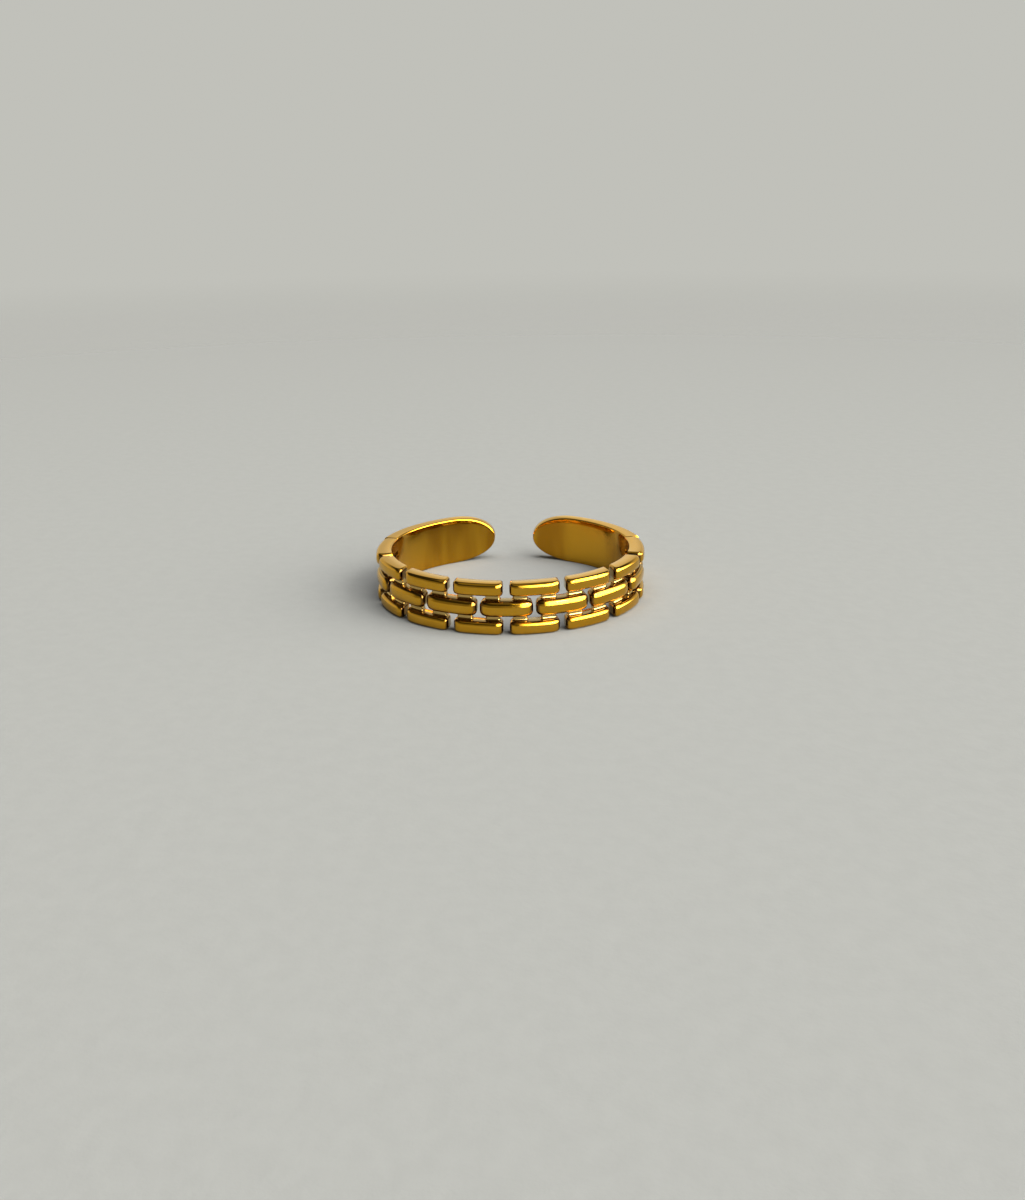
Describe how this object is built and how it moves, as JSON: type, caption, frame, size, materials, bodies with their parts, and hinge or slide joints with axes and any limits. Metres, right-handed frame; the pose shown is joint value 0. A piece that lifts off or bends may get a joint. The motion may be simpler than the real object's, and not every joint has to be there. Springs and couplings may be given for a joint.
{
  "type": "open chain link ring",
  "caption": "Open finger ring: pierced, brick-laid links in rows across the front and a plain shank behind that ends in rounded tips set apart.",
  "frame": {"origin": "on the finger's axis, level with the lower rim that the ring lies on", "axes": "+Z along the finger's axis, up as the ring lies on its side; the middle of the links faces -Y and the opening between the tips faces +Y; +X across the ring, which is the same on both sides of X = 0"},
  "size_m": [0.0192, 0.0192, 0.0035],
  "materials": {
    "polished_gold": "mirror-polished yellow gold plating"
  },
  "bodies": {
    "root": {"link_ring": "polished_gold"}
  },
  "joints": []
}
